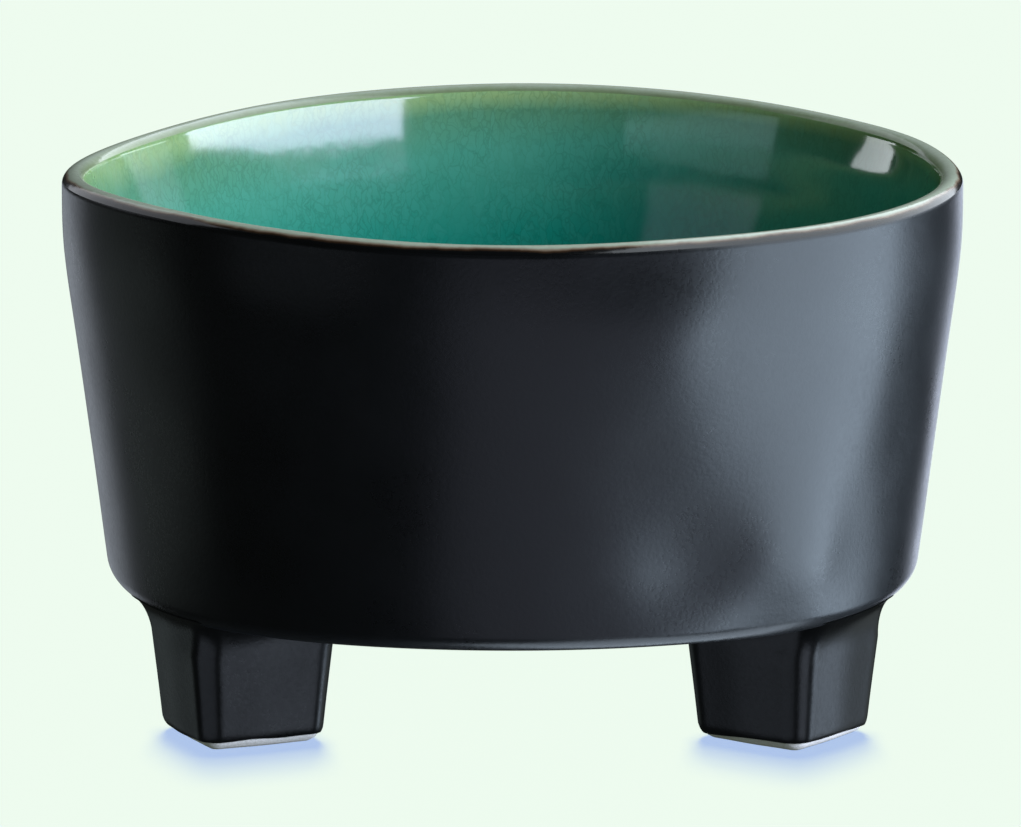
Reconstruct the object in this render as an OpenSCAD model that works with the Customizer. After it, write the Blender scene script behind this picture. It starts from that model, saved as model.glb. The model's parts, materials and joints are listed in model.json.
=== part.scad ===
// Footed bowl: a round stoneware bowl with an open mouth, on three square feet.
// It is built in the order a potter works: the clay bowl, three clay feet luted on with slip,
// a green crackle glaze inside, a pale band over the lip and a satin black glaze outside.
// Origin at the middle of the plane that it stands on, +Z up, -Y to the front, millimetres.

/* [Bowl] */
// Diameter across the lip, over the glaze
rim_d = 120; // [114:1:146]
// Height from the soles to the crest of the lip
total_h = 73; // [60:1:90]
// Diameter across the turned edge where the wall meets the underside
base_d = 107.8; // [96:0.2:112]
// Rounding of that turned edge
base_edge_r = 2; // [1.2:0.1:3]
// Radius of the arc that turns the wall upright below the lip
shoulder_r = 110; // [60:5:160]
// Thickness of the full-round lip
lip_t = 3.2; // [2.4:0.1:4.2]
// Thickness of the clay at the foot of the wall
wall_t = 4.2; // [3.4:0.1:6]
// Thickness of the clay floor
floor_t = 4.6; // [3.5:0.1:7]
// Rounding between the inside wall and the floor
inner_corner_r = 14; // [8:0.5:20]

/* [Feet] */
// Clear height under the bowl
foot_h = 18.4; // [12:0.2:24]
// Width of a foot where it meets the bowl
foot_top_w = 19.4; // [15:0.2:24]
// Width of a foot at its sole
foot_sole_w = 17.4; // [12:0.2:19]
// How far the outer face of a foot stands inside the turned edge
foot_setback = 3.3; // [2.6:0.1:6]
// Corner rounding of a foot at the top
foot_corner_top_r = 3.2; // [2:0.1:5]
// Corner rounding of a foot at the sole
foot_corner_sole_r = 2.7; // [1.6:0.1:4.5]
// Rounding of the edge around the sole
sole_edge_r = 1.1; // [0.6:0.1:1.5]
// Height of the root flare that blends a foot into the bowl
flare_h = 3.6; // [2:0.1:6]
// How far the root flare spreads
flare_w = 1.4; // [0.5:0.1:2]

/* [Glazes and slip] */
// Satin black glaze outside
outer_glaze_t = 0.3; // [0.2:0.05:0.5]
// Green crackle glaze on the inside wall, at its foot
inner_glaze_t = 0.7; // [0.4:0.05:1.2]
// Depth of the glaze that has pooled on the floor
pool_t = 1.2; // [0.8:0.1:3]
// Glaze over the lip, where it runs thin
rim_glaze_t = 0.3; // [0.15:0.05:0.5]
// Bed of slip between a foot and the bowl
slip_t = 0.4; // [0.2:0.05:0.8]
// Bare clay left above the sole, where the glaze is wiped off
bare_h = 1.3; // [0.5:0.1:2]
// Where the black glaze stops on the outside of the lip, in degrees above level
rim_outer_a = 20; // [5:1:45]
// Where the green glaze starts inside the lip, in degrees from level on the outer side
rim_inner_a = 145; // [120:1:160]

/* [Hidden] */

// Angle of each foot around the bowl, measured from +X
LEFT = 210;
RIGHT = 330;
REAR = 90;

clay_buff = [0.80, 0.73, 0.62];
slip_buff = [0.86, 0.80, 0.70];
satin_black = [0.035, 0.037, 0.045];
crackle_green = [0.06, 0.42, 0.33];
pale_celadon = [0.74, 0.77, 0.68];

turn_fn = 180;        // facets round the bowl in a preview
turn_steps = 10;      // segments in a rounding of the turned profile
shoulder_steps = 8;   // segments in the shoulder's long arc
corner_fn = 32;       // facets round a foot's corner
slice = 0.05;         // thickness of the thin slices that a foot is lofted between
overlap = 1;          // how far a cutting solid runs past what it cuts
flare_margin = 0.2;   // underside left between a root flare's glaze and the turned edge
shoulder_share = 0.9; // how much of the wall's whole outline the shoulder's arc may take up

rim_r = rim_d / 2;
base_r = base_d / 2;
lip_r = lip_t / 2;
lip_clay_r = lip_r - rim_glaze_t;
clay_under_z = foot_h + outer_glaze_t;
floor_z = clay_under_z + floor_t;
foot_top_z = clay_under_z - slip_t;
foot_centre_r = base_r - foot_setback - foot_top_w / 2;
root_spread = min(flare_w, foot_setback - outer_glaze_t - flare_margin);

// A round r1 at c1 and a round r2 at c2 share a tangent on the side away from the axis.
// This is the bearing at which it leaves both rounds; a round on its far side counts as negative.
function tangent_a(c1, r1, c2, r2) =
    atan2(c2[1] - c1[1], c2[0] - c1[0]) - acos((r1 - r2) / norm(c2 - c1));

function arc(c, r, a0, a1, n) =
    [for (i = [0 : n]) let (a = a0 + (a1 - a0) * i / n) c + r * [cos(a), sin(a)]];

// Centres of the lip's round and the turned edge, which every layer shares
lip_c = [rim_r - lip_r, total_h - lip_r];
edge_c = [base_r - base_edge_r, foot_h + base_edge_r];

// The widest arc that still meets the turned edge and stands upright at the lip limits the shoulder
wall_run = [rim_r, lip_c[1]] - edge_c;
widest_shoulder_r = (wall_run * wall_run - base_edge_r * base_edge_r) / (2 * (rim_r - base_r));
shoulder_arc_r = min(shoulder_r, shoulder_share * widest_shoulder_r);
shoulder_c = [rim_r - shoulder_arc_r, lip_c[1]];
wall_a = tangent_a(edge_c, base_edge_r, shoulder_c, shoulder_arc_r);
wall_n = [cos(wall_a), sin(wall_a)];

// Outside of the bowl from the axis to bearing a_end on the lip, inset by t from the glazed face
function outside(t, a_end) =
    concat([[0, foot_h + t]],
           arc(edge_c, base_edge_r - t, -90, wall_a, turn_steps),
           arc(shoulder_c, shoulder_arc_r - t, wall_a, 0, shoulder_steps),
           arc(lip_c, lip_r - t, 0, a_end, turn_steps));

// Inside of the bowl from bearing a_start on the lip down to the axis, for a layer whose lip round,
// depth from the glazed outside at the foot of the wall, and floor height are given
function inside(lip_round, depth, floor_top, a_start) =
    let (corner_z = floor_top + inner_corner_r,
         reach = wall_n * edge_c + base_edge_r - depth - inner_corner_r,
         corner_c = [(reach - wall_n[1] * corner_z) / wall_n[0], corner_z],
         a = tangent_a(corner_c, inner_corner_r, lip_c, -lip_round))
    concat(arc(lip_c, lip_round, a_start, 180 + a, turn_steps),
           arc(corner_c, inner_corner_r, a, -90, turn_steps),
           [[0, floor_top]]);

function backwards(list) = [for (i = [len(list) - 1 : -1 : 0]) list[i]];

// Width and corner rounding of a foot at height z
function foot_w(z) = foot_sole_w + (foot_top_w - foot_sole_w) * z / foot_h;
function foot_corner_r(z) =
    foot_corner_sole_r + (foot_corner_top_r - foot_corner_sole_r) * z / foot_h;

module turned(profile) {
    rotate_extrude($fn = turn_fn) polygon(profile);
}

// The bowl's clay filled solid up to the lip's centre, to cut what seats against its outside
module clay_envelope() {
    turned(concat(outside(outer_glaze_t, 0), [[0, lip_c[1]]]));
}

module at_foot(a) {
    rotate([0, 0, a]) translate([foot_centre_r, 0, 0]) children();
}

module at_corners(width, r) {
    for (x = [-1, 1], y = [-1, 1])
        translate([x * (width / 2 - r), y * (width / 2 - r), 0]) children();
}

// A thin slice across a foot at height z, grown by g
module foot_slice(z, g) {
    translate([0, 0, z])
        at_corners(foot_w(z), foot_corner_r(z))
            cylinder(r = foot_corner_r(z) + g, h = slice, $fn = corner_fn);
}

// A quarter-round at each corner of the sole, swept about the corner's own axis, grown by g
module sole_corners(g) {
    at_corners(foot_sole_w, foot_corner_sole_r)
        rotate_extrude($fn = corner_fn)
            translate([foot_corner_sole_r - sole_edge_r, sole_edge_r])
                intersection() {
                    circle(r = sole_edge_r + g, $fn = corner_fn);
                    translate([0, -sole_edge_r - g])
                        square([sole_edge_r + g, 2 * (sole_edge_r + g)]);
                }
}

// The block of one foot, grown by g, from the sole's rounded edge to its top
module foot_block(g) {
    hull() {
        sole_corners(g);
        foot_slice(foot_top_z - slice, g);
    }
}

// The flare at a foot's root, grown by g, which runs on up past the bowl's turned edge
module foot_root(g) {
    hull() {
        foot_slice(foot_top_z - flare_h, g);
        foot_slice(foot_h + base_edge_r, root_spread + g);
    }
}

module bowl_body() {
    color(clay_buff)
        turned(concat(outside(outer_glaze_t, 0),
                      inside(lip_clay_r, wall_t + outer_glaze_t, floor_z, 0)));
}

module foot(a) {
    color(clay_buff) at_foot(a) foot_block(0);
}

module slip_joint(a) {
    color(slip_buff)
        difference() {
            at_foot(a) foot_root(0);
            at_foot(a) foot_block(0);
            clay_envelope();
        }
}

module inner_glaze() {
    clay_depth = wall_t + outer_glaze_t;
    color(crackle_green)
        turned(concat(
            inside(lip_r, clay_depth + inner_glaze_t, floor_z + pool_t, rim_inner_a),
            backwards(inside(lip_clay_r, clay_depth, floor_z, rim_inner_a))));
}

module rim_glaze() {
    color(pale_celadon)
        turned(concat(arc(lip_c, lip_r, rim_outer_a, rim_inner_a, 2 * turn_steps),
                      arc(lip_c, lip_clay_r, rim_inner_a, rim_outer_a, 2 * turn_steps)));
}

module outer_glaze() {
    color(satin_black)
        difference() {
            turned(concat(outside(0, rim_outer_a),
                          backwards(outside(outer_glaze_t, rim_outer_a))));
            for (a = [LEFT, RIGHT, REAR]) at_foot(a) foot_root(outer_glaze_t);
        }
}

module foot_glaze(a) {
    wipe_w = foot_top_w + 2 * (root_spread + outer_glaze_t + overlap);
    color(satin_black)
        difference() {
            at_foot(a) union() {
                foot_block(outer_glaze_t);
                foot_root(outer_glaze_t);
            }
            at_foot(a) foot_block(0);
            at_foot(a) foot_root(0);
            at_foot(a) translate([-wipe_w / 2, -wipe_w / 2, -overlap])
                cube([wipe_w, wipe_w, bare_h + overlap]);
            clay_envelope();
        }
}

bowl_body();
foot(LEFT);  // foot_left
foot(RIGHT);  // foot_right
foot(REAR);  // foot_rear
slip_joint(LEFT);  // slip_joint_left
slip_joint(RIGHT);  // slip_joint_right
slip_joint(REAR);  // slip_joint_rear
inner_glaze();
rim_glaze();
outer_glaze();
foot_glaze(LEFT);  // foot_glaze_left
foot_glaze(RIGHT);  // foot_glaze_right
foot_glaze(REAR);  // foot_glaze_rear
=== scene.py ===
"""Looks for a footed stoneware bowl: satin black outside, green crackle glaze inside, a pale lip.

The bowl is laid out in the order it is made: thrown body, luted feet, glazes, and then a stage.
All sizes are in metres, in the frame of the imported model.
"""

import json
import math
from types import SimpleNamespace

import bmesh
import bpy
from mathutils import Matrix, Vector, noise

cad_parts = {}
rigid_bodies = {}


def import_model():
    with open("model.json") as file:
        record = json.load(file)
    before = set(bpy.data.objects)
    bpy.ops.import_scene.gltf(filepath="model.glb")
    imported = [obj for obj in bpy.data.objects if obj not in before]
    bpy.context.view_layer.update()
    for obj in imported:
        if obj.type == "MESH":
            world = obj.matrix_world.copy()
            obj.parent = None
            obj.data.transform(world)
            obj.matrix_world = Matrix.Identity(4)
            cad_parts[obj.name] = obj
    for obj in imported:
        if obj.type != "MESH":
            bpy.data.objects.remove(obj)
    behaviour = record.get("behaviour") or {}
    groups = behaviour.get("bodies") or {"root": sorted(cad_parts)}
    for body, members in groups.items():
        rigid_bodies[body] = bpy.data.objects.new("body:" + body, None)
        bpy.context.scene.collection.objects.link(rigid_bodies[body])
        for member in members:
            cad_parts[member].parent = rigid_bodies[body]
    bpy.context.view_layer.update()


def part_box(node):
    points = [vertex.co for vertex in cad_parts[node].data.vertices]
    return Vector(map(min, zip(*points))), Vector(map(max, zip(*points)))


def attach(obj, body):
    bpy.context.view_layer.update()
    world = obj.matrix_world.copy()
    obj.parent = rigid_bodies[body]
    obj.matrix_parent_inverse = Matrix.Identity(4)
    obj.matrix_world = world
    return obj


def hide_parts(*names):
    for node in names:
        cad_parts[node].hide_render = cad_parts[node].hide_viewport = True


bl_info = {
    "name": "Footed Stoneware Bowl",
    "version": (1, 0, 0),
    "blender": (4, 5, 0),
    "location": "View3D > Sidebar > Bowl",
    "description": "A crackle-glazed bowl on three square feet, with its stage",
    "category": "Add Mesh",
}

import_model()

MM = 0.001
FOOT_TURNS = {"left": math.radians(120), "right": math.radians(-120), "rear": 0.0}
FOOT_YAWS = {"left": math.radians(-7), "right": math.radians(-6), "rear": math.radians(4)}
FOOT_SHIFTS = {"left": 0.3 * MM, "right": 0.35 * MM, "rear": 0.0}
FOOT_SWELL = 0.7 * MM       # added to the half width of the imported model's foot
FOOT_TAPER = 1.8 * MM       # how much a foot's half width shrinks from its root to its sole
BRUSH_TILT = 0.5 * MM       # how far the wiped line rises on one side of a foot
BRUSH_WANDER = 0.2 * MM     # how far the wiped line wanders
TURN_STEPS = 288
LIP_STEPS = 28
WALL_STEPS = 44
CORNER_STEPS = 14
FLOOR_STEPS = 16
FOOT_STEPS = 160
ROOT_STEPS = 9
SHARP = math.radians(38)


# ---------------------------------------------------------------- sizes and colours

def span(node):
    """Lowest corner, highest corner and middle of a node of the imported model."""
    low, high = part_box(node)
    return low, high, (low + high) / 2


_, FOOT_HIGH, FOOT_MIDDLE = span("foot_rear")


def length(name, default, description):
    """A size in metres that the sidebar shows in the scene's units."""
    return bpy.props.FloatProperty(
        name=name, description=description, default=default, min=0.0,
        unit="LENGTH", subtype="DISTANCE", precision=5)


def colour(name, default, description):
    """A colour swatch."""
    return bpy.props.FloatVectorProperty(
        name=name, description=description, default=default, size=3,
        min=0.0, max=1.0, subtype="COLOR")


class BowlForm(bpy.types.PropertyGroup):
    """Sizes of the thrown bowl and its feet."""
    rim_radius: length("Rim Radius", span("outer_glaze")[1].x, "Half the width across the lip")
    height: length("Height", span("rim_glaze")[1].z, "Soles to the crest of the lip")
    under_z: length("Underside", span("outer_glaze")[0].z, "Clear height under the bowl")
    base_radius: length("Base Radius", 54.2 * MM, "Radius of the turned edge under the wall")
    edge_round: length("Turned Edge", 2.6 * MM, "Rounding of the turned edge")
    shoulder_radius: length("Shoulder", 110 * MM, "Arc that turns the wall upright")
    lip: length("Lip", 3.2 * MM, "Thickness of the round lip")
    wall: length("Wall", 4.5 * MM, "Depth from the glazed outside to the clay inside")
    inner_corner: length("Inner Corner", 14 * MM, "Rounding between inside wall and floor")
    floor_z: length("Clay Floor", span("inner_glaze")[0].z, "Height of the clay floor inside")
    foot_corner: length("Foot Corner", 3.3 * MM, "Corner rounding of a foot")
    sole_round: length("Sole Rounding", 2.2 * MM, "Rounding of the edge around a sole")
    root_height: length("Root Height", 4.6 * MM, "Height of the blend between a foot and the bowl")
    root_round: length("Root Spread", 1.5 * MM, "Spread of that blend under the bowl")
    pool: length("Pool", 1.2 * MM, "Depth of the glaze pooled on the floor")
    wave: length("Lip Wave", 0.6 * MM, "How far the lip rises and dips by hand")
    sag: length("Foot Sag", 1.0 * MM, "How far the turned edge dips over each foot")
    dent: length("Dents", 1.2 * MM, "Depth of the soft dents in the wall")


class GlazeLook(bpy.types.PropertyGroup):
    """Thicknesses and colours of the glazes."""
    coat: length("Black Coat", 0.3 * MM, "Thickness of the black glaze")
    green_coat: length("Green Coat", 0.7 * MM, "Thickness of the green glaze on the wall")
    bare: length("Bare Band", 0.95 * MM, "Clay left bare above each sole")
    black: colour("Satin Black", (0.0042, 0.0046, 0.0055), "The glaze outside")
    deep: colour("Deep Green", (0.008, 0.255, 0.165), "Green glaze where it lies thick")
    green: colour("Green", (0.056, 0.275, 0.165), "Green glaze on the wall")
    olive: colour("Olive", (0.20, 0.32, 0.115), "Green glaze where it thins at the lip")
    pale: colour("Pale Lip", (0.41, 0.47, 0.38), "Glaze on the crest of the lip")
    clay: colour("Clay", (0.80, 0.83, 0.75), "Bare fired clay")


# ---------------------------------------------------------------- outlines

def bearing_of_tangent(c1, r1, c2, r2):
    """Bearing at which the outer tangent of two rounds leaves both of them."""
    across = c2 - c1
    return math.atan2(across.y, across.x) - math.acos((r1 - r2) / across.length)


def arc(centre, radius, start, end, steps):
    """Points of an arc, from bearing start to bearing end, in radians."""
    turns = [start + (end - start) * i / steps for i in range(steps + 1)]
    return [centre + radius * Vector((math.cos(a), math.sin(a))) for a in turns]


def straight(start, end, steps):
    """Evenly spaced points from start towards end, without end itself."""
    return [start.lerp(end, i / steps) for i in range(steps)]


def bowl_centres(form):
    """Centres of the rounds that every layer of the bowl shares."""
    lip = Vector((form.rim_radius - form.lip / 2, form.height - form.lip / 2))
    shoulder = Vector((form.rim_radius - form.shoulder_radius, lip.y))
    edge = Vector((form.base_radius - form.edge_round, form.under_z + form.edge_round))
    wall = bearing_of_tangent(edge, form.edge_round, shoulder, form.shoulder_radius)
    return SimpleNamespace(lip=lip, shoulder=shoulder, edge=edge, wall=wall)


def outside(form, inset, end):
    """Outline of the bowl's outside from the axis to bearing end on the lip."""
    c = bowl_centres(form)
    under = Vector((0.0, form.under_z + inset))
    turn = arc(c.edge, form.edge_round - inset, -math.pi / 2, c.wall, CORNER_STEPS)
    shoulder = arc(c.shoulder, form.shoulder_radius - inset, c.wall, 0.0, WALL_STEPS // 2)
    lip = arc(c.lip, form.lip / 2 - inset, 0.0, end, LIP_STEPS // 2)
    return (straight(under, turn[0], FLOOR_STEPS) + turn[:-1]
            + straight(turn[-1], shoulder[0], WALL_STEPS // 2) + shoulder[:-1] + lip)


def inside(form, lip_round, depth, floor, start):
    """Outline of a layer's inside from bearing start on the lip down to the axis."""
    c = bowl_centres(form)
    out = Vector((math.cos(c.wall), math.sin(c.wall)))
    middle = floor + form.inner_corner
    reach = out.dot(c.edge) + form.edge_round - depth - form.inner_corner
    corner = Vector(((reach - out.y * middle) / out.x, middle))
    lean = bearing_of_tangent(corner, form.inner_corner, c.lip, -lip_round)
    lip = arc(c.lip, lip_round, start, math.pi + lean, LIP_STEPS // 2)
    turn = arc(corner, form.inner_corner, lean, -math.pi / 2, CORNER_STEPS)
    pole = Vector((0.0, floor))
    return (lip[:-1] + straight(lip[-1], turn[0], WALL_STEPS) + turn[:-1]
            + straight(turn[-1], pole, FLOOR_STEPS) + [pole])


# ---------------------------------------------------------------- the potter's hand

def ease(value, low, high):
    """Smooth step from 0 at low to 1 at high."""
    t = min(max((value - low) / (high - low), 0.0), 1.0)
    return t * t * (3 - 2 * t)


# Angle around the bowl, height, spread around, spread in height, all in degrees and millimetres,
# and a share of the full depth, where a minus sign is a swelling.
DENTS = (
    (-66, 24, 10, 19, 1.3),
    (-48, 24, 8, 17, -1.25),
    (-75, 41, 7, 8, 0.35),
    (-71, 60, 10, 13, -0.55),
    (-50, 50, 9, 9, 0.2),
    (-26, 42, 9, 9, 0.35),
    (-150, 44, 15, 15, 0.55),
    (-128, 30, 16, 20, -0.3),
    (150, 46, 18, 14, 0.4),
    (95, 38, 20, 12, -0.4),
    (38, 50, 16, 12, 0.5),
)

# Angle around the bowl, spread around and rise of each soft kink in the lip, in degrees and millimetres
LIP_KINKS = ((156, 24, -0.8), (-146, 28, 0.6), (-66, 20, 0.45), (-25, 34, 0.25), (90, 180, -0.4))

# Angle around the bowl, spread around, outward push at the lip and how far below the lip it starts.
# The first is so wide that it draws the whole lip in.
LIP_FLARES = (
    (0, 9000, -0.2, 11),
    (26, 12, 0.7, 7),
    (103, 14, -0.36, 22),
    (130, 18, 0.17, 12),
    (156, 14, 0.4, 11),
)

# Waves of the lip: crests in one turn, phase in degrees, and share
LIP_WAVES = ((2, 151, 1.0), (3, -81, 0.55), (1, 0, -0.27))

# The turned edge bends down near the feet and up between them, in shares of the sag
FOOT_ANGLES = (90, -30, -150)
FOOT_PULL_SPREAD = 34       # degrees
FOOT_PULL = 1.3
LIFT_BETWEEN = 0.35
DRIFT = 0.22 * MM           # how far the wall as a whole wanders in and out


def degrees_from(around, angle):
    """Signed degrees from an angle to a bearing around the bowl in radians."""
    return (math.degrees(around) - angle + 180) % 360 - 180


def nearness(around, angle, wide):
    """Falls from 1 at an angle towards 0 away from it, with a spread of wide degrees."""
    return math.exp(-(degrees_from(around, angle) / wide) ** 2)


def dents_at(around, height):
    """Share of the full dent depth at an angle around the bowl and a height."""
    total = 0.0
    for angle, middle, wide, tall, share in DENTS:
        rise = height / MM - middle
        total += share * nearness(around, angle, wide) * math.exp(-(rise / tall) ** 2)
    return total


def by_hand(form, point):
    """Moves a point of the ideal form to where a thrown and luted bowl has it."""
    around = math.atan2(point.y, point.x)
    radius = math.hypot(point.x, point.y)
    up = ease(point.z, form.under_z + 12 * MM, form.height - 4 * MM)
    wave = sum(share * math.cos(crests * around - math.radians(phase))
               for crests, phase, share in LIP_WAVES)
    near_foot = sum(nearness(around, angle, FOOT_PULL_SPREAD) for angle in FOOT_ANGLES)
    kinks = sum(rise * nearness(around, angle, wide) for angle, wide, rise in LIP_KINKS)
    base = (ease(point.z, 4 * MM, form.under_z - 1 * MM)
            * (1 - ease(point.z, form.under_z, form.under_z + 16 * MM))
            * ease(radius, 12 * MM, 30 * MM))
    pull = LIFT_BETWEEN - FOOT_PULL * near_foot
    rise = (form.wave * wave + kinks * MM) * up + form.sag * base * pull
    wall = ease(point.z, form.under_z - 3 * MM, form.under_z + 12 * MM)
    wall *= 1 - ease(point.z, form.height - 14 * MM, form.height - 1 * MM)
    drift = noise.noise(Vector((2.2 * math.cos(around), 2.2 * math.sin(around), point.z * 28)))
    out = wall * (-form.dent * dents_at(around, point.z) + DRIFT * drift)
    out *= ease(radius, form.base_radius - 14 * MM, form.base_radius - 5 * MM)
    for angle, wide, push, below in LIP_FLARES:
        start = form.height - below * MM
        out += push * MM * nearness(around, angle, wide) * ease(point.z, start, form.height - 1 * MM)
    scale = (radius + out) / radius if radius > MM else 1.0
    return Vector((point.x * scale, point.y * scale, point.z + rise))


# ---------------------------------------------------------------- making pieces

def throw(outline, closed):
    """Spins an outline of radius and height points about the bowl's axis."""
    bm = bmesh.new()
    along = bm.verts.layers.float.new("along")
    verts = []
    run = 0.0
    for i, point in enumerate(outline):
        run += (point - outline[i - 1]).length if i else 0.0
        vert = bm.verts.new((point.x, 0.0, point.y))
        vert[along] = run
        verts.append(vert)
    ring = verts + [verts[0]] if closed else verts
    edges = [bm.edges.new(pair) for pair in zip(ring, ring[1:])]
    bmesh.ops.spin(
        bm, geom=verts + edges, cent=(0, 0, 0), axis=(0, 0, 1), dvec=(0, 0, 0),
        angle=math.tau, steps=TURN_STEPS, use_merge=True, use_duplicate=False)
    bmesh.ops.remove_doubles(bm, verts=bm.verts, dist=0.001 * MM)
    bmesh.ops.recalc_face_normals(bm, faces=bm.faces)
    return bm


def finish_piece(context, name, bm, form, material, nodes):
    """Passes a mesh through the potter's hand, and stands it in for nodes of the model."""
    for vert in bm.verts:
        vert.co = by_hand(form, vert.co)
    for face in bm.faces:
        face.smooth = True
    bm.normal_update()
    for edge in bm.edges:
        edge.smooth = len(edge.link_faces) == 2 and edge.calc_face_angle(0.0) < SHARP
    mesh = bpy.data.meshes.new(name)
    bm.to_mesh(mesh)
    bm.free()
    mesh.materials.append(material)
    piece = bpy.data.objects.new(name, mesh)
    context.scene.collection.objects.link(piece)
    pieces_collection(context).objects.link(piece)
    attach(piece, "root")
    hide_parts(*nodes)
    return piece


def pieces_collection(context):
    """The collection of the bowl's own pieces."""
    found = bpy.data.collections.get("Bowl")
    if found is None:
        found = bpy.data.collections.new("Bowl")
        context.scene.collection.children.link(found)
    return found


def rounded_square(angle, half, corner):
    """Point of a rounded square with slightly crowned sides, in the direction of an angle."""
    c, s = abs(math.cos(angle)), abs(math.sin(angle))
    flat = half - corner
    reach = half / max(c, s)
    if reach * min(c, s) > flat:
        along = flat * (c + s)
        reach = along + math.sqrt(along * along - 2 * flat * flat + corner * corner)
    reach *= 1 - 0.03 * math.sin(2 * angle) ** 2
    return Vector((math.cos(angle), math.sin(angle))) * reach


def foot_section(form, side, angle, height, pad, flare, wander=0.0):
    """Point on a foot at an angle, a height and a padding, where flare runs from 0 to 1 at its root.

    wander is how far the height follows the brush, which wiped the glaze off higher on one side.
    """
    half = FOOT_HIGH.x + FOOT_SWELL
    stand = FOOT_MIDDLE.y + FOOT_SHIFTS[side]
    bearing = angle + FOOT_TURNS[side]
    brush = noise.noise(Vector((2 * math.cos(bearing), 2 * math.sin(bearing), FOOT_TURNS[side] * 3)))
    height += wander * (BRUSH_TILT * math.cos(bearing + math.radians(60)) + BRUSH_WANDER * brush)
    taper = FOOT_TAPER * (1 - height / form.under_z)
    up_round = min(height / form.sole_round, 1.0)
    tuck = form.sole_round * (1 - math.sqrt(max(1 - (1 - up_round) ** 2, 0.0)))
    corner = form.foot_corner - 0.5 * taper - tuck + pad
    point = rounded_square(angle, half - taper - tuck + pad, corner)
    yaw = FOOT_YAWS[side] * (1 - flare)
    point.rotate(Matrix.Rotation(yaw, 2))
    outward = ease(point.y / half, 0.15, 0.95)
    edge = form.base_radius - form.edge_round * 0.35
    to_edge = math.sqrt(edge ** 2 - point.x ** 2) - stand - point.y
    curl = 1 - math.cos(flare * math.pi / 2)
    lift = math.sin(flare * math.pi / 2)
    drift = point.normalized() * form.root_round * (1 - 0.75 * outward) * curl
    climb = (form.under_z - height) * lift + form.edge_round * 0.3 * outward * flare ** 2
    spot = Vector((point.x + drift.x, point.y + drift.y + to_edge * outward * curl, height + climb))
    return Matrix.Rotation(FOOT_TURNS[side], 4, "Z") @ (spot + Vector((0, stand, 0)))


def raise_foot(form, side, levels, capped):
    """Raises a foot ring by ring through levels of height, padding and flare."""
    bm = bmesh.new()
    bmesh.ops.create_circle(bm, segments=FOOT_STEPS, radius=1.0)
    ring = sorted(bm.verts, key=lambda v: math.atan2(v.co.y, v.co.x))
    angles = [math.atan2(v.co.y, v.co.x) for v in ring]
    if capped:
        bmesh.ops.contextual_create(bm, geom=ring)
    for vert, angle in zip(ring, angles):
        vert.co = foot_section(form, side, angle, *levels[0])
    for level in levels[1:]:
        edges = list({e for v, after in zip(ring, ring[1:] + ring[:1]) for e in v.link_edges
                      if e.other_vert(v) is after})
        grown = bmesh.ops.extrude_edge_only(bm, edges=edges)["geom"]
        new = {g for g in grown if isinstance(g, bmesh.types.BMVert)}
        ring = [next(e.other_vert(v) for e in v.link_edges if e.other_vert(v) in new) for v in ring]
        for vert, angle in zip(ring, angles):
            vert.co = foot_section(form, side, angle, *level)
    if capped:
        bmesh.ops.contextual_create(bm, geom=ring)
    bmesh.ops.recalc_face_normals(bm, faces=bm.faces)
    return bm


# ---------------------------------------------------------------- shader helpers

def add(tree, kind, values=None, **settings):
    """Adds a node, sets its properties from settings and its sockets from values."""
    made = tree.nodes.new(kind)
    for key, value in settings.items():
        setattr(made, key, value)
    for key, value in (values or {}).items():
        made.inputs[key].default_value = value
    return made


def join(tree, source, target):
    """Links an output socket to an input socket."""
    tree.links.new(source, target)


def number(tree, operation, first, second):
    """A Math node. first and second are sockets or numbers."""
    made = add(tree, "ShaderNodeMath", operation=operation)
    for slot, value in zip(made.inputs, (first, second)):
        if isinstance(value, bpy.types.NodeSocket):
            join(tree, value, slot)
        else:
            slot.default_value = value
    return made.outputs[0]


def spread(tree, source, from_low, from_high, to_low, to_high):
    """A Map Range node that clamps."""
    made = add(tree, "ShaderNodeMapRange", {
        "From Min": from_low, "From Max": from_high, "To Min": to_low, "To Max": to_high})
    join(tree, source, made.inputs["Value"])
    return made.outputs["Result"]


def blend(tree, factor, first, second, mode="MIX"):
    """Mixes two colours. factor, first and second are sockets, numbers or colours."""
    made = add(tree, "ShaderNodeMix", data_type="RGBA", blend_type=mode)
    sockets = (made.inputs["Factor"], made.inputs[6], made.inputs[7])
    for slot, value in zip(sockets, (factor, first, second)):
        if isinstance(value, bpy.types.NodeSocket):
            join(tree, value, slot)
        elif isinstance(value, (int, float)):
            slot.default_value = value
        else:
            slot.default_value = (*value, 1.0)
    return made.outputs[2]


def ramp(tree, source, stops):
    """A colour ramp with stops of position and colour."""
    made = add(tree, "ShaderNodeValToRGB")
    band = made.color_ramp
    while len(band.elements) < len(stops):
        band.elements.new(0.5)
    for element, (position, tint) in zip(band.elements, stops):
        element.position = position
        element.color = (*tint, 1.0)
    join(tree, source, made.inputs["Fac"])
    return made.outputs["Color"]


def new_group(name, inputs, outputs):
    """An empty shader node group with named sockets, its Group Input and its Group Output."""
    tree = bpy.data.node_groups.new(name, "ShaderNodeTree")
    for label, default in inputs:
        socket = tree.interface.new_socket(label, in_out="INPUT", socket_type="NodeSocketFloat")
        socket.default_value = default
    for label in outputs:
        tree.interface.new_socket(label, in_out="OUTPUT", socket_type="NodeSocketFloat")
    return tree, add(tree, "NodeGroupInput"), add(tree, "NodeGroupOutput")


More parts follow.
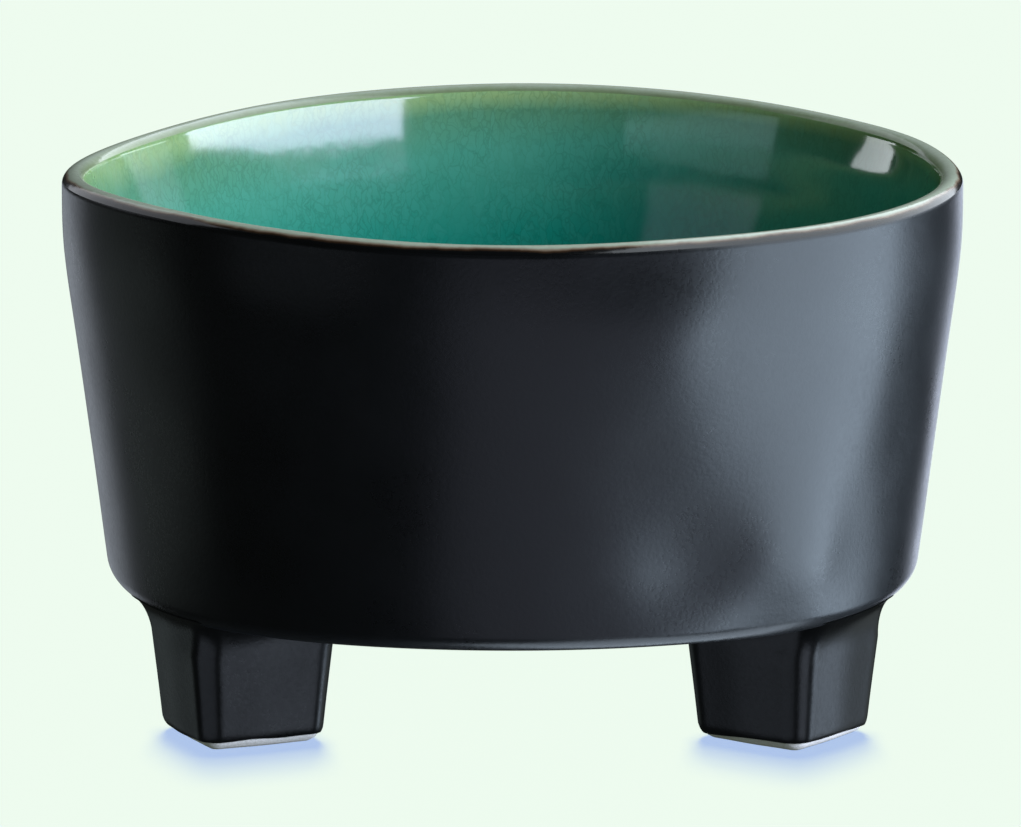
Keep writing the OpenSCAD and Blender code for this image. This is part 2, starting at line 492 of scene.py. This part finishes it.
def grain_group():
    """Clouds, fine speckle and a height that roughens light, as fired glaze and clay have."""
    found = bpy.data.node_groups.get("Fired Grain")
    if found:
        return found
    tree, given, result = new_group(
        "Fired Grain", (("Cloud Scale", 45.0), ("Speckle Scale", 2200.0)),
        ("Cloud", "Speckle", "Height"))
    place = add(tree, "ShaderNodeTexCoord").outputs["Object"]
    cloud = add(tree, "ShaderNodeTexNoise", {"Detail": 3.0, "Roughness": 0.55})
    speckle = add(tree, "ShaderNodeTexNoise", {"Detail": 2.0, "Roughness": 0.6})
    for texture, scale in ((cloud, "Cloud Scale"), (speckle, "Speckle Scale")):
        join(tree, place, texture.inputs["Vector"])
        join(tree, given.outputs[scale], texture.inputs["Scale"])
    join(tree, spread(tree, cloud.outputs["Fac"], 0.3, 0.7, 0.0, 1.0), result.inputs["Cloud"])
    join(tree, spread(tree, speckle.outputs["Fac"], 0.35, 0.7, 0.0, 1.0), result.inputs["Speckle"])
    join(tree, speckle.outputs["Fac"], result.inputs["Height"])
    return tree


def crazing_group():
    """The net of fine cracks in a crackle glaze, in cells that are taller than they are wide."""
    found = bpy.data.node_groups.get("Crazing")
    if found:
        return found
    tree, given, result = new_group(
        "Crazing", (("Cells per Metre", 900.0), ("Crack Width", 0.06), ("Tallness", 0.55)),
        ("Cracks", "Cells"))
    place = add(tree, "ShaderNodeTexCoord").outputs["Object"]
    wobble = add(tree, "ShaderNodeTexNoise", {"Scale": 420.0, "Detail": 3.0})
    join(tree, place, wobble.inputs["Vector"])
    centred = add(tree, "ShaderNodeVectorMath", operation="SUBTRACT")
    centred.inputs[1].default_value = (0.5, 0.5, 0.5)
    join(tree, wobble.outputs["Color"], centred.inputs[0])
    nudge = add(tree, "ShaderNodeVectorMath", operation="SCALE")
    nudge.inputs["Scale"].default_value = 0.0026
    join(tree, centred.outputs[0], nudge.inputs[0])
    moved = add(tree, "ShaderNodeVectorMath", operation="ADD")
    join(tree, place, moved.inputs[0])
    join(tree, nudge.outputs[0], moved.inputs[1])
    parts = add(tree, "ShaderNodeSeparateXYZ")
    join(tree, moved.outputs[0], parts.inputs[0])
    tall = add(tree, "ShaderNodeCombineXYZ")
    join(tree, parts.outputs[0], tall.inputs[0])
    join(tree, parts.outputs[1], tall.inputs[1])
    join(tree, number(tree, "MULTIPLY", parts.outputs[2], given.outputs["Tallness"]), tall.inputs[2])
    edges = add(tree, "ShaderNodeTexVoronoi", feature="DISTANCE_TO_EDGE")
    cells = add(tree, "ShaderNodeTexVoronoi", feature="F1")
    for texture in (edges, cells):
        join(tree, tall.outputs[0], texture.inputs["Vector"])
        join(tree, given.outputs["Cells per Metre"], texture.inputs["Scale"])
    near = number(tree, "DIVIDE", edges.outputs["Distance"], given.outputs["Crack Width"])
    join(tree, spread(tree, near, 0.0, 1.0, 1.0, 0.0), result.inputs["Cracks"])
    tone = add(tree, "ShaderNodeSeparateXYZ")
    join(tree, cells.outputs["Color"], tone.inputs[0])
    join(tree, tone.outputs[0], result.inputs["Cells"])
    return tree


def use_group(tree, group, values):
    """Places a node group in a material with its own values."""
    made = add(tree, "ShaderNodeGroup")
    made.node_tree = group
    for key, value in values.items():
        made.inputs[key].default_value = value
    return made


def new_material(name, **sockets):
    """A material with one Principled shader, and the constants set on its sockets."""
    material = bpy.data.materials.new(name)
    material.use_nodes = True
    shader = material.node_tree.nodes["Principled BSDF"]
    for key, value in sockets.items():
        shader.inputs[key.replace("_", " ")].default_value = value
    return material, material.node_tree, shader


def bumped(tree, shader, height, distance):
    """Bumps a shader's normal with a height from 0 to 1 that stands for a distance in metres."""
    bump = add(tree, "ShaderNodeBump", {"Distance": distance, "Strength": 1.0})
    join(tree, height, bump.inputs["Height"])
    join(tree, bump.outputs["Normal"], shader.inputs["Normal"])


# ---------------------------------------------------------------- materials

def satin_black(look):
    """Satin black glaze, with a fine grain that sparkles where a highlight fades."""
    material, tree, shader = new_material("Satin Black Glaze", IOR=1.52)
    grain = use_group(tree, grain_group(), {"Cloud Scale": 60.0, "Speckle Scale": 1700.0})
    tone = blend(tree, grain.outputs["Cloud"], look.black, [c * 1.7 for c in look.black])
    join(tree, tone, shader.inputs["Base Color"])
    rough = number(tree, "ADD", spread(tree, grain.outputs["Cloud"], 0.0, 1.0, 0.27, 0.34),
                   spread(tree, grain.outputs["Speckle"], 0.0, 1.0, -0.02, 0.03))
    join(tree, rough, shader.inputs["Roughness"])
    bumped(tree, shader, grain.outputs["Height"], 0.017 * MM)
    return material


def green_crackle(look):
    """Glossy green glaze, olive where it thins at the lip and emerald where it lies deep, with painted
    shade towards the right side.
    """
    material, tree, shader = new_material("Green Crackle Glaze", Roughness=0.08, IOR=1.54)
    run = add(tree, "ShaderNodeAttribute", attribute_name="along").outputs["Fac"]
    grain = use_group(tree, grain_group(), {"Cloud Scale": 90.0, "Speckle Scale": 900.0})
    # Painted shade: the green is lighter towards the left and deeper towards the right, and a band just
    # right of the middle is darkened further below the lip
    sides = add(tree, "ShaderNodeSeparateXYZ")
    join(tree, add(tree, "ShaderNodeTexCoord").outputs["Object"], sides.inputs[0])
    # pooled holds that painted shade from left to right plus a random cloud in the glaze's depth, and
    # depth adds both to the real depth below the lip
    pooled = number(tree, "ADD", spread(tree, sides.outputs[0], -50 * MM, 50 * MM, -0.08, 0.24),
                    spread(tree, grain.outputs["Cloud"], 0.0, 1.0, -0.025, 0.025))
    below = spread(tree, run, 0.0, 30 * MM, 0.0, 1.0)
    under_lip = spread(tree, run, 0.0, 8 * MM, 0.0, 1.0)
    depth = number(tree, "ADD", below, number(tree, "MULTIPLY", pooled, under_lip))
    body = ramp(tree, depth, (
        (0.0, look.olive), (0.03, look.olive), (0.12, [0.078, 0.22, 0.105]),
        (0.34, look.green), (0.75, look.deep), (1.0, look.deep)))
    # shade is painted shade: it darkens the green in a band right of the middle, below the lip
    shade = number(tree, "MULTIPLY", spread(tree, sides.outputs[0], 4 * MM, 18 * MM, 0.0, 1.0),
                   spread(tree, sides.outputs[0], 28 * MM, 42 * MM, 1.0, 0.0))
    shade = number(tree, "MULTIPLY", shade, spread(tree, run, 3 * MM, 13 * MM, 0.0, 1.0))
    body = blend(tree, shade, body, [0.30, 0.68, 0.72], mode="MULTIPLY")
    fine = use_group(tree, crazing_group(), {
        "Cells per Metre": 1150.0, "Crack Width": 0.13, "Tallness": 0.36})
    coarse = use_group(tree, crazing_group(), {
        "Cells per Metre": 420.0, "Crack Width": 0.03, "Tallness": 0.35})
    faint = spread(tree, grain.outputs["Cloud"], 0.1, 0.9, 0.08, 0.30)
    toned = blend(tree, number(tree, "MULTIPLY", fine.outputs["Cells"], 0.08), body,
                  [0.11, 0.42, 0.30])
    cracked = blend(tree, number(tree, "MULTIPLY", fine.outputs["Cracks"], faint), toned,
                    [0.25, 0.35, 0.28], mode="MULTIPLY")
    lined = blend(tree, number(tree, "MULTIPLY", coarse.outputs["Cracks"], 0.10), cracked,
                  [0.20, 0.30, 0.22], mode="MULTIPLY")
    join(tree, lined, shader.inputs["Base Color"])
    both = number(tree, "MAXIMUM", fine.outputs["Cracks"], coarse.outputs["Cracks"])
    height = number(tree, "SUBTRACT", grain.outputs["Cloud"], number(tree, "MULTIPLY", both, 0.02))
    bumped(tree, shader, height, 0.012 * MM)
    return material


def pale_lip(look):
    """Thin pale glaze on the lip, breaking to brown and then black at its outer edge."""
    material, tree, shader = new_material("Pale Lip Glaze", Roughness=0.14, IOR=1.52)
    run = add(tree, "ShaderNodeAttribute", attribute_name="along").outputs["Fac"]
    grain = use_group(tree, grain_group(), {"Cloud Scale": 160.0, "Speckle Scale": 1300.0})
    place = number(tree, "ADD", spread(tree, run, 0.0, 4.0 * MM, 0.0, 1.0),
                   spread(tree, grain.outputs["Cloud"], 0.0, 1.0, -0.05, 0.05))
    tint = ramp(tree, place, (
        (0.0, look.black), (0.10, look.black), (0.17, [0.055, 0.028, 0.014]),
        (0.23, [0.26, 0.20, 0.15]), (0.31, look.pale), (0.62, look.pale),
        (0.84, [0.26, 0.33, 0.20]), (1.0, look.olive)))
    toned = blend(tree, number(tree, "MULTIPLY", grain.outputs["Speckle"], 0.3), tint,
                  [0.75, 0.68, 0.66], mode="MULTIPLY")
    join(tree, toned, shader.inputs["Base Color"])
    bumped(tree, shader, grain.outputs["Cloud"], 0.03 * MM)
    return material


def bare_clay(name, tint):
    """Fired clay without glaze, matt and sandy."""
    material, tree, shader = new_material(name, Roughness=0.85, IOR=1.45)
    grain = use_group(tree, grain_group(), {"Cloud Scale": 200.0, "Speckle Scale": 2600.0})
    tone = blend(tree, grain.outputs["Cloud"], tint, [c * 0.9 for c in tint])
    toned = blend(tree, number(tree, "MULTIPLY", grain.outputs["Speckle"], 0.25), tone,
                  [0.62, 0.55, 0.46], mode="MULTIPLY")
    join(tree, toned, shader.inputs["Base Color"])
    bumped(tree, shader, grain.outputs["Height"], 0.08 * MM)
    return material


# ---------------------------------------------------------------- operators

LIP_START = math.radians(20)
LIP_END = math.radians(150)
ROOT_TUCK = 1.2 * MM        # how far a foot's clay narrows inside its bed of slip
SLIP_PROUD = 0.02 * MM      # how far the slip stands proud of the clay
COAT_SHARE = 0.95           # keeps a foot's coat clear of its clay
FLOOR_DROP = 0.02 * MM      # keeps the floor clear of the soles
SUN_ANGLE = math.radians(14)
SUN_RADIANCE = 4.5          # pi times this is a sun's strength


class BOWL_OT_throw_body(bpy.types.Operator):
    """Throw the clay bowl: floor, wall, turned edge and round lip"""
    bl_idname = "bowl.throw_body"
    bl_label = "Throw the Body"

    def execute(self, context):
        form = context.scene.bowl_form
        look = context.scene.bowl_glaze
        crest = form.lip / 2 - look.coat
        outline = outside(form, look.coat, 0.0)[:-1] + inside(form, crest, form.wall, form.floor_z, 0.0)
        finish_piece(context, "clay_body", throw(outline, closed=False), form,
                     bare_clay("Stoneware Clay", look.clay), ["bowl_body"])
        return {"FINISHED"}


class BOWL_OT_lute_feet(bpy.types.Operator):
    """Press three square clay feet and lute them on with slip"""
    bl_idname = "bowl.lute_feet"
    bl_label = "Lute the Feet"

    def execute(self, context):
        form = context.scene.bowl_form
        look = context.scene.bowl_glaze
        clay = bare_clay("Foot Clay", look.clay)
        slip = bare_clay("Luting Slip", [min(c * 1.1, 1.0) for c in look.clay])
        top = FOOT_HIGH.z
        root = form.under_z - form.root_height
        sole = [(form.sole_round * (1 - math.cos(math.radians(turn))), 0.0, 0.0)
                for turn in (0, 20, 40, 60, 75, 90)]
        shaft = sole + [(height * MM, 0.0, 0.0) for height in (3, 6, 9, 12)]
        shaft += [(root, 0.0, 0.0), (top, -ROOT_TUCK, 0.0)]
        bed = [(root, SLIP_PROUD, i / ROOT_STEPS) for i in range(ROOT_STEPS + 1)]
        for side in FOOT_TURNS:
            finish_piece(context, f"clay_foot_{side}", raise_foot(form, side, shaft, capped=True),
                         form, clay, [f"foot_{side}"])
            finish_piece(context, f"slip_bed_{side}", raise_foot(form, side, bed, capped=True),
                         form, slip, [f"slip_joint_{side}"])
        return {"FINISHED"}


class BOWL_OT_glaze_outside(bpy.types.Operator):
    """Dip the outside and the feet in satin black glaze, and wipe the soles"""
    bl_idname = "bowl.glaze_outside"
    bl_label = "Glaze the Outside"

    def execute(self, context):
        form = context.scene.bowl_form
        look = context.scene.bowl_glaze
        black = satin_black(look)
        skin = outside(form, 0.0, LIP_START)
        backing = outside(form, look.coat, LIP_START)
        finish_piece(context, "black_glaze", throw(skin + backing[::-1], closed=False), form,
                     black, ["outer_glaze"])
        for side in FOOT_TURNS:
            finish_piece(context, f"black_glaze_foot_{side}", self.foot_coat(form, look, side),
                         form, black, [f"foot_glaze_{side}"])
        return {"FINISHED"}

    def foot_coat(self, form, look, side):
        """The glaze on one foot: a shell that is open over the sole and under the bowl."""
        root = form.under_z - form.root_height
        # Height above the wiped line, and how far the glaze there follows the brush
        shaft = [(look.bare + above * MM, look.coat, 0.0, wander) for above, wander in (
            (0, 1.0), (0.2, 0.98), (0.55, 0.94), (1.15, 0.85), (1.65, 0.7), (2.35, 0.45), (3.55, 0.15),
            (5.05, 0.0), (7.05, 0.0), (9.05, 0.0), (11.05, 0.0))]
        blend_in = [(root, look.coat, i / ROOT_STEPS) for i in range(ROOT_STEPS + 1)]
        bm = raise_foot(form, side, shaft + blend_in, capped=False)
        bmesh.ops.solidify(bm, geom=bm.faces[:], thickness=look.coat * COAT_SHARE)
        bmesh.ops.recalc_face_normals(bm, faces=bm.faces)
        return bm


class BOWL_OT_glaze_inside(bpy.types.Operator):
    """Pour the green crackle glaze inside"""
    bl_idname = "bowl.glaze_inside"
    bl_label = "Glaze the Inside"

    def execute(self, context):
        form = context.scene.bowl_form
        look = context.scene.bowl_glaze
        skin = inside(form, form.lip / 2, form.wall + look.green_coat, form.floor_z + form.pool, LIP_END)
        backing = inside(form, form.lip / 2 - look.coat, form.wall, form.floor_z, LIP_END)
        finish_piece(context, "green_glaze", throw(skin + backing[::-1], closed=False), form,
                     green_crackle(look), ["inner_glaze"])
        return {"FINISHED"}


class BOWL_OT_glaze_lip(bpy.types.Operator):
    """Lay the thin pale glaze over the lip"""
    bl_idname = "bowl.glaze_lip"
    bl_label = "Glaze the Lip"

    def execute(self, context):
        form = context.scene.bowl_form
        look = context.scene.bowl_glaze
        lip = bowl_centres(form).lip
        skin = arc(lip, form.lip / 2, LIP_START, LIP_END, LIP_STEPS)
        backing = arc(lip, form.lip / 2 - look.coat, LIP_END, LIP_START, LIP_STEPS)
        finish_piece(context, "lip_glaze", throw(skin + backing, closed=True), form,
                     pale_lip(look), ["rim_glaze"])
        return {"FINISHED"}


class BOWL_OT_set_stage(bpy.types.Operator):
    """Set out the floor, the studio lights and the camera"""
    bl_idname = "bowl.set_stage"
    bl_label = "Set the Stage"

    def execute(self, context):
        context.scene.view_settings.view_transform = "Standard"
        self.lay_floor(context)
        self.light_world(context)
        self.hang_lights(context)
        self.place_camera(context)
        return {"FINISHED"}

    def lay_floor(self, context):
        """A pale round floor that glows, so that only soft shadows show, and is clear from below."""
        bm = bmesh.new()
        bmesh.ops.create_circle(bm, cap_ends=True, segments=96, radius=6.0)
        bmesh.ops.reverse_faces(bm, faces=[f for f in bm.faces if f.normal.z < 0])
        bmesh.ops.translate(bm, verts=bm.verts, vec=(0, 0, -FLOOR_DROP))
        mesh = bpy.data.meshes.new("floor")
        bm.to_mesh(mesh)
        bm.free()
        material, tree, shader = new_material(
            "Floor", Roughness=1.0, Specular_IOR_Level=0.0, Base_Color=(0.0275, 0.0262, 0.0022, 1.0),
            Emission_Color=(0.316, 0.454, 0.820, 1.0), Emission_Strength=1.0)
        below = add(tree, "ShaderNodeMixShader")
        join(tree, add(tree, "ShaderNodeNewGeometry").outputs["Backfacing"], below.inputs[0])
        join(tree, shader.outputs[0], below.inputs[1])
        join(tree, add(tree, "ShaderNodeBsdfTransparent").outputs[0], below.inputs[2])
        join(tree, below.outputs[0], tree.nodes["Material Output"].inputs["Surface"])
        mesh.materials.append(material)
        floor = bpy.data.objects.new("floor", mesh)
        floor.visible_glossy = False
        floor.visible_diffuse = False
        floor.visible_shadow = False
        context.scene.collection.objects.link(floor)

    def light_world(self, context):
        """A pale surround that the glazes hardly mirror."""
        world = bpy.data.worlds.new("Studio")
        context.scene.world = world
        world.use_nodes = True
        tree = world.node_tree
        back = tree.nodes["Background"]
        back.inputs["Color"].default_value = (0.855, 0.973, 0.871, 1.0)
        # Full strength for the camera, little for matt surfaces and next to none for mirrored rays
        path = add(tree, "ShaderNodeLightPath")
        strength = number(tree, "ADD", number(tree, "MULTIPLY", path.outputs["Is Camera Ray"], 0.98),
                          number(tree, "MULTIPLY", path.outputs["Is Diffuse Ray"], 0.10))
        join(tree, number(tree, "ADD", strength, 0.02), back.inputs["Strength"])

    def gather(self, context, name, members):
        """A collection for light linking."""
        group = bpy.data.collections.new(name)
        context.scene.collection.children.link(group)
        for member in members:
            group.objects.link(member)
        return group

    def hang_lights(self, context):
        """Softboxes for the glazes, and suns that only the floor receives."""
        pieces = pieces_collection(context).objects
        inside_glaze = self.gather(context, "Inside", [
            p for p in pieces if p.name == "green_glaze" or p.name.startswith("clay_foot")])
        lip_glaze = self.gather(context, "Lip", [p for p in pieces if p.name == "lip_glaze"])
        wall_glaze = self.gather(context, "Wall", [p for p in pieces if p.name == "black_glaze"])
        foot_glaze = self.gather(context, "Foot Glaze", [
            p for p in pieces if p.name.startswith("black_glaze_foot")])
        front_feet = self.gather(context, "Front Feet", [
            p for p in pieces if p.name in ("clay_foot_left", "clay_foot_right")])
        rear_foot = self.gather(context, "Rear Foot", [p for p in pieces if p.name == "clay_foot_rear"])
        stage = self.gather(context, "Stage", [bpy.data.objects["floor"]])
        # name, what it lights, azimuth to the right of the front, elevation, distance, width,
        # height, radiance, colour
        softboxes = (
            ("window", inside_glaze, 64, 17, 1.0, 1.4, 0.60, 13.2, (0.70, 0.74, 1.0)),
            ("window_side", inside_glaze, 122, 5, 1.0, 0.50, 0.22, 4.5, (0.80, 0.97, 1.0)),
            ("window_left", inside_glaze, -118, 6, 1.0, 0.34, 0.20, 4.5, (0.90, 0.97, 1.0)),
            ("window_far", inside_glaze, -55, 3.5, 1.0, 0.85, 0.12, 1.3, (0.58, 0.95, 1.0)),
            ("backdrop", inside_glaze, 180, 13, 1.2, 1.5, 0.50, 0.6, (0.90, 0.91, 1.0)),
            ("lip_sky", lip_glaze, 100, 34, 1.0, 3.0, 1.60, 2.9, (0.85, 0.93, 1.0)),
            ("lip_left", lip_glaze, -125, 20, 1.0, 1.2, 1.00, 0.9, (0.88, 0.92, 1.0)),
            ("wall_haze", wall_glaze, 105, 32, 1.0, 2.4, 1.10, 3.0, (0.78, 0.88, 1.0)),
            ("wall_haze_left", wall_glaze, -130, 22, 1.0, 0.9, 0.60, 0.5, (0.84, 0.90, 1.0)),
            ("wall_right", wall_glaze, 81, -14, 0.45, 0.52, 0.30, 4.7, (0.66, 0.82, 1.0)),
            ("wall_front", wall_glaze, 18, -21, 0.45, 0.58, 0.27, 0.50, (0.74, 0.79, 1.0)),
            ("wall_under", wall_glaze, 70, -66, 0.35, 0.34, 0.32, 3.0, (0.70, 0.84, 1.0)),
            ("wall_left", wall_glaze, -112, -14, 0.60, 0.35, 0.16, 0.18, (0.80, 0.95, 0.95)),
            ("wall_fill", wall_glaze, -52, -6, 0.60, 0.40, 0.12, 0.22, (0.75, 0.85, 1.0)),
            ("wall_back_right", wall_glaze, 160, -14, 0.60, 0.17, 0.28, 2.1, (0.74, 0.82, 1.0)),
            ("wall_back_left", wall_glaze, -151, -16, 0.60, 0.26, 0.24, 0.80, (0.80, 0.88, 1.0)),
            ("foot_strip", foot_glaze, 97, -18, 0.45, 0.11, 0.24, 3.6, (0.68, 0.82, 1.0)),
            ("foot_front", foot_glaze, 42, -20, 0.45, 0.26, 0.24, 1.3, (0.72, 0.82, 1.0)),
            ("foot_right", foot_glaze, 124, -18, 0.45, 0.20, 0.24, 0.3, (0.84, 0.95, 0.95)),
            ("foot_left", foot_glaze, -132, -18, 0.45, 0.24, 0.20, 0.16, (0.80, 0.96, 1.0)),
            ("foot_fill", foot_glaze, -38, -22, 0.45, 0.60, 0.28, 0.46, (0.72, 0.82, 1.0)),
            ("foot_rear", foot_glaze, 172, -14, 0.60, 0.20, 0.24, 0.4, (0.74, 0.82, 1.0)),
        )
        aim = Vector((0, 0, 0.045))
        for name, lit, azimuth, elevation, distance, wide, tall, radiance, tint in softboxes:
            a = math.radians(azimuth)
            e = math.radians(elevation)
            away = Vector((math.sin(a) * math.cos(e), -math.cos(a) * math.cos(e), math.sin(e)))
            lamp = bpy.data.lights.new(name, "AREA")
            lamp.shape = "RECTANGLE"
            lamp.size = wide
            lamp.size_y = tall
            lamp.energy = radiance * math.pi * wide * tall
            lamp.color = tint
            light = bpy.data.objects.new(name, lamp)
            light.location = aim + away * distance
            light.rotation_euler = away.to_track_quat("Z", "Y").to_euler()
            light.visible_camera = False
            # The far window is only a reflection
            light.visible_diffuse = name != "window_far"
            light.light_linking.receiver_collection = lit
            context.scene.collection.objects.link(light)
        # Only the feet shade the floor, away from the middle of the bowl and ever fainter
        suns = [(front_feet, lean) for lean in (-8, -22, -34, -44)] + [(rear_foot, 30)]
        for blockers, lean in suns:
            name = f"floor_sun_{abs(lean)}"
            sun = bpy.data.lights.new(name, "SUN")
            sun.angle = SUN_ANGLE
            sun.energy = SUN_RADIANCE * math.pi
            light = bpy.data.objects.new(name, sun)
            light.rotation_euler = (math.radians(lean), 0, 0)
            light.light_linking.receiver_collection = stage
            light.light_linking.blocker_collection = blockers
            context.scene.collection.objects.link(light)

    def place_camera(self, context):
        """A long lens, a little above the lip, straight from the front."""
        distance = 1.48
        elevation = math.radians(11.72)
        centre = Vector((0, 0, 41.4 * MM))
        aim = Vector((-0.27 * MM, 0, 39.1 * MM))
        data = bpy.data.cameras.new("camera")
        data.sensor_fit = "HORIZONTAL"
        data.sensor_width = 36.0
        data.lens = 391.4
        data.clip_start = 0.05
        data.clip_end = 50.0
        camera = bpy.data.objects.new("camera", data)
        away = Vector((0, -math.cos(elevation), math.sin(elevation)))
        camera.location = centre + away * distance
        camera.rotation_euler = (camera.location - aim).to_track_quat("Z", "Y").to_euler()
        context.scene.collection.objects.link(camera)
        context.scene.camera = camera


class BOWL_PT_sidebar(bpy.types.Panel):
    """Sizes, glazes and steps of the footed bowl"""
    bl_idname = "BOWL_PT_sidebar"
    bl_label = "Footed Bowl"
    bl_space_type = "VIEW_3D"
    bl_region_type = "UI"
    bl_category = "Bowl"

    def draw(self, context):
        for group in (context.scene.bowl_form, context.scene.bowl_glaze):
            box = self.layout.box()
            for name in group.__annotations__:
                box.prop(group, name)
        for step in STEPS:
            self.layout.operator(step.bl_idname)


STEPS = (BOWL_OT_throw_body, BOWL_OT_lute_feet, BOWL_OT_glaze_outside,
         BOWL_OT_glaze_inside, BOWL_OT_glaze_lip, BOWL_OT_set_stage)
CLASSES = (BowlForm, GlazeLook, *STEPS, BOWL_PT_sidebar)


def register():
    for cls in CLASSES:
        bpy.utils.register_class(cls)
    bpy.types.Scene.bowl_form = bpy.props.PointerProperty(type=BowlForm)
    bpy.types.Scene.bowl_glaze = bpy.props.PointerProperty(type=GlazeLook)


def unregister():
    del bpy.types.Scene.bowl_glaze
    del bpy.types.Scene.bowl_form
    for cls in reversed(CLASSES):
        bpy.utils.unregister_class(cls)


def main():
    register()
    bpy.ops.bowl.throw_body()
    bpy.ops.bowl.lute_feet()
    bpy.ops.bowl.glaze_outside()
    bpy.ops.bowl.glaze_inside()
    bpy.ops.bowl.glaze_lip()
    bpy.ops.bowl.set_stage()


if __name__ == "__main__":
    main()
